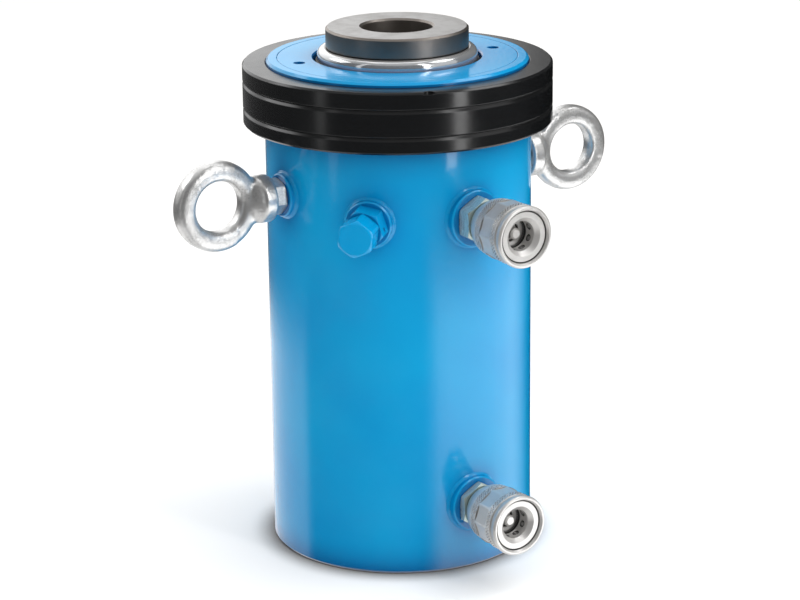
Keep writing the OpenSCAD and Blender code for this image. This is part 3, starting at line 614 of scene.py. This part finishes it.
def forge_eye_bolt(frame, side, face_x, eye_z, finish):
    """A forged copy of a CAD eye bolt, whose eye flares into its collar.

    face_x is where the outer face of the collar is, and its sign tells the side.
    """
    node = side + "_eye_bolt"
    outward = math.copysign(1, face_x)
    forged = bmesh.new()
    forged.from_mesh(frame["nodes"][node].data)
    add_flare(forged, face_x, outward, eye_z)
    add_flat_ring(forged, face_x + outward * EYE_RING_CENTRE, eye_z)
    bmesh.ops.recalc_face_normals(forged, faces=forged.faces)
    mesh = bpy.data.meshes.new("forged_" + node)
    forged.to_mesh(mesh)
    forged.free()
    piece = bpy.data.objects.new("forged_" + node, mesh)
    bpy.context.scene.collection.objects.link(piece)
    skin = piece.modifiers.new("skin", "REMESH")
    skin.mode = "VOXEL"
    skin.voxel_size = 0.6 * MM
    bpy.context.view_layer.update()
    shaped = piece.evaluated_get(bpy.context.evaluated_depsgraph_get())
    piece.data = bpy.data.meshes.new_from_object(shaped)
    piece.modifiers.clear()
    forged = bmesh.new()
    forged.from_mesh(piece.data)
    neck_from, neck_to = 0.5 * MM, 15 * MM
    neck = [v for v in forged.verts if neck_from < (v.co.x - face_x) * outward < neck_to]
    for worked, passes in ((forged.verts[:], 5), (neck, 40)):
        for _ in range(passes):
            bmesh.ops.smooth_vert(
                forged, verts=worked, factor=0.5,
                use_axis_x=True, use_axis_y=True, use_axis_z=True,
            )
    forged.to_mesh(piece.data)
    forged.free()
    piece.data.shade_smooth()
    piece.data.materials.clear()
    piece.data.materials.append(finish)
    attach(piece, "cylinder_body")
    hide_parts(node)


def coil_springs(frame):
    """Copies of the CAD springs that the joints list as deforming, riding on the cylinder body in
    their place.
    """
    for joint in frame["record"]["behaviour"]["joints"]:
        for held in joint.get("deforming_nodes", []):
            node = held["node"]
            coil = bpy.data.objects.new(
                node.replace("spring", "coil"), frame["nodes"][node].data.copy()
            )
            bpy.context.scene.collection.objects.link(coil)
            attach(coil, "cylinder_body")
            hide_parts(node)
            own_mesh(coil)


# ---------------------------------------------------------------- studio


def lay_floor():
    """A wide pale floor under the cylinder, with a contact shadow painted into its colour around
    the base.
    """
    half = 6.0
    mesh = bpy.data.meshes.new("floor")
    corners = [(-half, -half, 0), (half, -half, 0), (half, half, 0), (-half, half, 0)]
    mesh.from_pydata(corners, [], [(0, 1, 2, 3)])
    floor = bpy.data.objects.new("floor", mesh)
    bpy.context.scene.collection.objects.link(floor)
    material = bpy.data.materials.new("pale_floor")
    material.use_nodes = True
    tree = material.node_tree
    shader = tree.nodes["Principled BSDF"]
    # Painted contact shadow: an occlusion mask within 24 mm darkens the floor's colour near the
    # cylinder.
    openness = add_node(tree, "AmbientOcclusion", {"Distance": 24 * MM}, samples=12).outputs["AO"]
    painted_contact_shadow = mix_colours(
        tree, remap(tree, openness, 0.5, 0.86), (0.22, 0.215, 0.205, 1), (0.97, 0.96, 0.945, 1)
    )
    tree.links.new(painted_contact_shadow, shader.inputs["Base Color"])
    shader.inputs["Roughness"].default_value = 0.9
    shader.inputs["Specular IOR Level"].default_value = 0.1
    mesh.materials.append(material)
    floor.visible_glossy = False


def from_camera_side(azimuth, elevation=0.0):
    """A direction by its azimuth from the camera's side, positive to the right, and elevation."""
    turn, lift = math.radians(CAMERA_AZIMUTH + azimuth), math.radians(elevation)
    return Vector((
        math.sin(turn) * math.cos(lift), -math.cos(turn) * math.cos(lift), math.sin(lift)
    ))


def light_softbox(name, azimuth, elevation, distance, size, brightness, aim):
    """A rectangular softbox that faces the point it is aimed at."""
    direction = from_camera_side(azimuth, elevation)
    data = bpy.data.lights.new(name, "AREA")
    data.shape = "RECTANGLE"
    data.size, data.size_y = size
    data.energy = brightness * math.pi * size[0] * size[1]
    lamp = bpy.data.objects.new(name, data)
    bpy.context.scene.collection.objects.link(lamp)
    lamp.location = aim + direction * distance
    lamp.rotation_euler = direction.to_track_quat("Z", "Y").to_euler()
    lamp.visible_camera = False


def stand_card(name, azimuths, radius, heights, fades, brightness):
    """A bright curved card around the cylinder, there only for its gloss to mirror.

    It fades out over fades[0] and fades[1] degrees at its two ends, and fades[2] at its top.
    """
    across, up = 48, 16
    vertices, glow = [], []
    for i in range(across + 1):
        azimuth = azimuths[0] + (azimuths[1] - azimuths[0]) * i / across
        spot = from_camera_side(azimuth) * radius
        ends = [abs(azimuth - azimuths[k]) / fades[k] for k in (0, 1)]
        for j in range(up + 1):
            height = heights[0] + (heights[1] - heights[0]) * j / up
            fade = min(1, *ends, (heights[1] - height) / fades[2])
            vertices.append((spot.x, spot.y, height))
            glow.append(fade * fade * (3 - 2 * fade))
    mesh = bpy.data.meshes.new(name)
    mesh.from_pydata(vertices, [], [
        (i * (up + 1) + j, i * (up + 1) + j + 1, (i + 1) * (up + 1) + j + 1, (i + 1) * (up + 1) + j)
        for i in range(across) for j in range(up)
    ])
    mesh.attributes.new("glow", "FLOAT", "POINT").data.foreach_set("value", glow)
    card = bpy.data.objects.new(name, mesh)
    bpy.context.scene.collection.objects.link(card)
    material = bpy.data.materials.new(name)
    material.use_nodes = True
    tree = material.node_tree
    shader = tree.nodes["Principled BSDF"]
    shader.inputs["Base Color"].default_value = (0, 0, 0, 1)
    shader.inputs["Emission Color"].default_value = (1, 1, 1, 1)
    shown = add_node(tree, "Attribute", attribute_name="glow").outputs["Fac"]
    strength = math_node(tree, "MULTIPLY", shown, brightness)
    tree.links.new(strength, shader.inputs["Emission Strength"])
    see_through = add_node(tree, "BsdfTransparent").outputs[0]
    glowing = add_node(tree, "MixShader", {0: shown, 1: see_through, 2: shader.outputs[0]})
    tree.links.new(glowing.outputs[0], tree.nodes["Material Output"].inputs["Surface"])
    mesh.materials.append(material)
    card.visible_camera = card.visible_diffuse = card.visible_shadow = False


def fill_room():
    """Soft white light from above for matt surfaces, and a room for glossy ones to mirror.

    The room has a pale backdrop, brighter on the left, a pale ceiling and ground, and is dark
    behind the camera.
    """
    world = bpy.data.worlds.new("studio")
    bpy.context.scene.world = world
    world.use_nodes = True
    tree = world.node_tree
    tree.nodes.clear()
    direction = add_node(tree, "TexCoord").outputs["Generated"]
    height = add_node(tree, "SeparateXYZ", {0: direction}).outputs["Z"]
    away = vector_node(tree, "DOT_PRODUCT", direction, -from_camera_side(0), "Value")
    across = vector_node(tree, "DOT_PRODUCT", direction, from_camera_side(90), "Value")
    middle = remap(tree, across, 0.058, 0.032, 0.05, 0.80)
    bright = math_node(tree, "ADD", middle, remap(tree, across, 0.03, -0.12, 0.0, 1.0))
    left = remap(tree, across, -0.35, -0.95, 0.0, 0.9)
    above = remap(tree, height, -0.05, 0.12, 0.09, 1.0)
    backdrop = math_node(tree, "MULTIPLY", math_node(tree, "SUBTRACT", bright, left), above)
    walls = mix_colours(
        tree, remap(tree, away, 0.0, 0.45), (0.07, 0.071, 0.073, 1),
        add_node(tree, "CombineColor", {0: backdrop, 1: backdrop, 2: backdrop}).outputs[0],
    )
    ceiling = mix_colours(tree, remap(tree, height, 0.6, 0.88), walls, (0.45, 0.45, 0.45, 1))
    room = mix_colours(tree, remap(tree, height, -0.42, -0.6), ceiling, (0.95, 0.95, 0.95, 1))
    sky = math_node(
        tree, "MULTIPLY", remap(tree, height, 0.0, 1.0, 0.15, 1.56),
        remap(tree, across, -0.9, 0.1, 0.5, 1.05),
    )
    sky = add_node(tree, "CombineColor", {0: sky, 1: sky, 2: sky}).outputs[0]
    light_path = add_node(tree, "LightPath").outputs
    lit = mix_colours(tree, light_path["Is Glossy Ray"], sky, room)
    shown = mix_colours(tree, light_path["Is Camera Ray"], lit, (1.05, 1.05, 1.05, 1))
    background = add_node(tree, "Background", {"Color": shown, "Strength": 1.0})
    output = tree.nodes.new("ShaderNodeOutputWorld")
    tree.links.new(background.outputs[0], output.inputs[0])


CAMERA_AZIMUTH = -32.5
CAMERA_PLACE = (0.0, -1.58827, 0.63369)
CAMERA_PITCH = 17.016
CAMERA_ROLL = 0.635
CAMERA_LENS = 121.9


def set_camera():
    """The camera in front of the couplers and to their left, a little above the cylinder."""
    pitch = math.radians(CAMERA_PITCH)
    forward = Vector((0, math.cos(pitch), -math.sin(pitch)))
    down = Vector((0, -math.sin(pitch), -math.cos(pitch)))
    right = Vector((1, 0, 0))
    roll = math.radians(CAMERA_ROLL)
    rolled_right = right * math.cos(roll) + down * math.sin(roll)
    rolled_down = down * math.cos(roll) - right * math.sin(roll)
    turn = Matrix.Rotation(math.radians(CAMERA_AZIMUTH), 3, "Z")
    axes = Matrix((turn @ rolled_right, -(turn @ rolled_down), -(turn @ forward))).transposed()
    data = bpy.data.cameras.new("camera")
    data.lens = CAMERA_LENS
    data.sensor_width = 36.0
    camera = bpy.data.objects.new("camera", data)
    bpy.context.scene.collection.objects.link(camera)
    camera.matrix_world = Matrix.Translation(turn @ Vector(CAMERA_PLACE)) @ axes.to_4x4()
    bpy.context.scene.camera = camera


def light_studio(middle):
    """Tall strips beside the top of the cylinder, a broad key on the right, a box overhead."""
    strip_height = Vector((0, 0, 0.6))
    light_softbox("right_strip", 43, 0, 0.6, (0.09, 1.0), 5.0, strip_height)
    light_softbox("left_strip", -54, 0, 0.6, (0.07, 1.0), 0.9, strip_height)
    light_softbox("left_window", -104, 36, 1.5, (0.7, 0.6), 2.4, middle)
    light_softbox("right_window", 96, 54, 1.5, (0.6, 0.5), 3.5, middle)
    light_softbox("key_softbox", 70, 24, 1.7, (1.5, 1.3), 0.6, middle)
    light_softbox("top_softbox", -170, 74, 1.6, (1.0, 0.8), 1.3, middle)
    stand_card("right_card", (12, 150), 0.5, (-0.4, 0.14), (24, 50, 0.12), 2.05)
    stand_card("left_card", (-76, -172), 0.5, (-0.4, 0.06), (14, 14, 0.09), 1.25)


# ---------------------------------------------------------------- the cylinder

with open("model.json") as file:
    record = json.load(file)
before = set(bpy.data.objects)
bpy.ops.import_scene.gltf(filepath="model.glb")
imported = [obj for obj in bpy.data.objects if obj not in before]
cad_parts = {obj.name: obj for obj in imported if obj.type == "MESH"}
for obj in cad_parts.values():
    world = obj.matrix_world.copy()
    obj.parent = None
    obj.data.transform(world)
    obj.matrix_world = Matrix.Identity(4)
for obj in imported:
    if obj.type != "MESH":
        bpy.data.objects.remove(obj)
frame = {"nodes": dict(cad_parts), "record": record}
cad_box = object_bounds()
fill_room()
lay_floor()
set_camera()
cylinder_middle = (Vector(cad_box[0]) + Vector(cad_box[1])) / 2
light_studio(cylinder_middle)
bpy.context.scene.view_settings.view_transform = "Standard"

sleeve_boxes = {k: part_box(k + "_sleeve") for k in ("upper", "lower")}
coupler_axes = {
    k: ((0, 0, (low.z + high.z) / 2), (0, -1, 0)) for k, (low, high) in sleeve_boxes.items()
}
finishes = make_finishes(
    shared_groups(), coupler_axes["upper"], coupler_axes["lower"],
    relief_axis(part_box("relief_body")),
)
coat_frame(frame, finishes)

# The knurled bands of both sleeves
for k, sleeve_box in sleeve_boxes.items():
    lip_r = (sleeve_box[1].x - sleeve_box[0].x) / 2
    for band, radius, from_lip, width in (
        ("front", lip_r - 0.5 * MM, 5.9 * MM, 4.5 * MM),
        ("rear", lip_r - 1.4 * MM, 21.8 * MM, 5.3 * MM),
    ):
        knurl_band(
            f"{k}_{band}_knurl", sleeve_box, radius, from_lip, width,
            finishes["knurled_steel_" + k], k + "_coupler_sleeve",
        )

# The painted fillets around the bosses of the ports, the relief valve and the eye bolts
relief_low, relief_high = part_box("relief_body")
nut_low, nut_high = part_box("left_lock_nut")
eye_z = (nut_low.z + nut_high.z) / 2
for name, azimuth, height, boss_r in (
    ("upper_port", -90, coupler_axes["upper"][0][2], PORT_BOSS_R),
    ("lower_port", -90, coupler_axes["lower"][0][2], PORT_BOSS_R),
    ("relief_valve", -135, (relief_low.z + relief_high.z) / 2, RELIEF_BOSS_R),
    ("left_eye", 180, eye_z, EYE_BOSS_R),
    ("right_eye", 0, eye_z, EYE_BOSS_R),
):
    boss_fillet(name + "_fillet", math.radians(azimuth), height, boss_r, finishes["blue_paint"])

relief_hex_cap(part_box("relief_cap"), finishes["blue_paint"])

# The eye bolts, whose collars rest on the lock nuts
for side, outward in (("left", -1), ("right", 1)):
    face_x = outward * (abs(nut_low.x) + EYE_COLLAR_H)
    forge_eye_bolt(frame, side, face_x, eye_z, finishes["bright_zinc"])

coil_springs(frame)
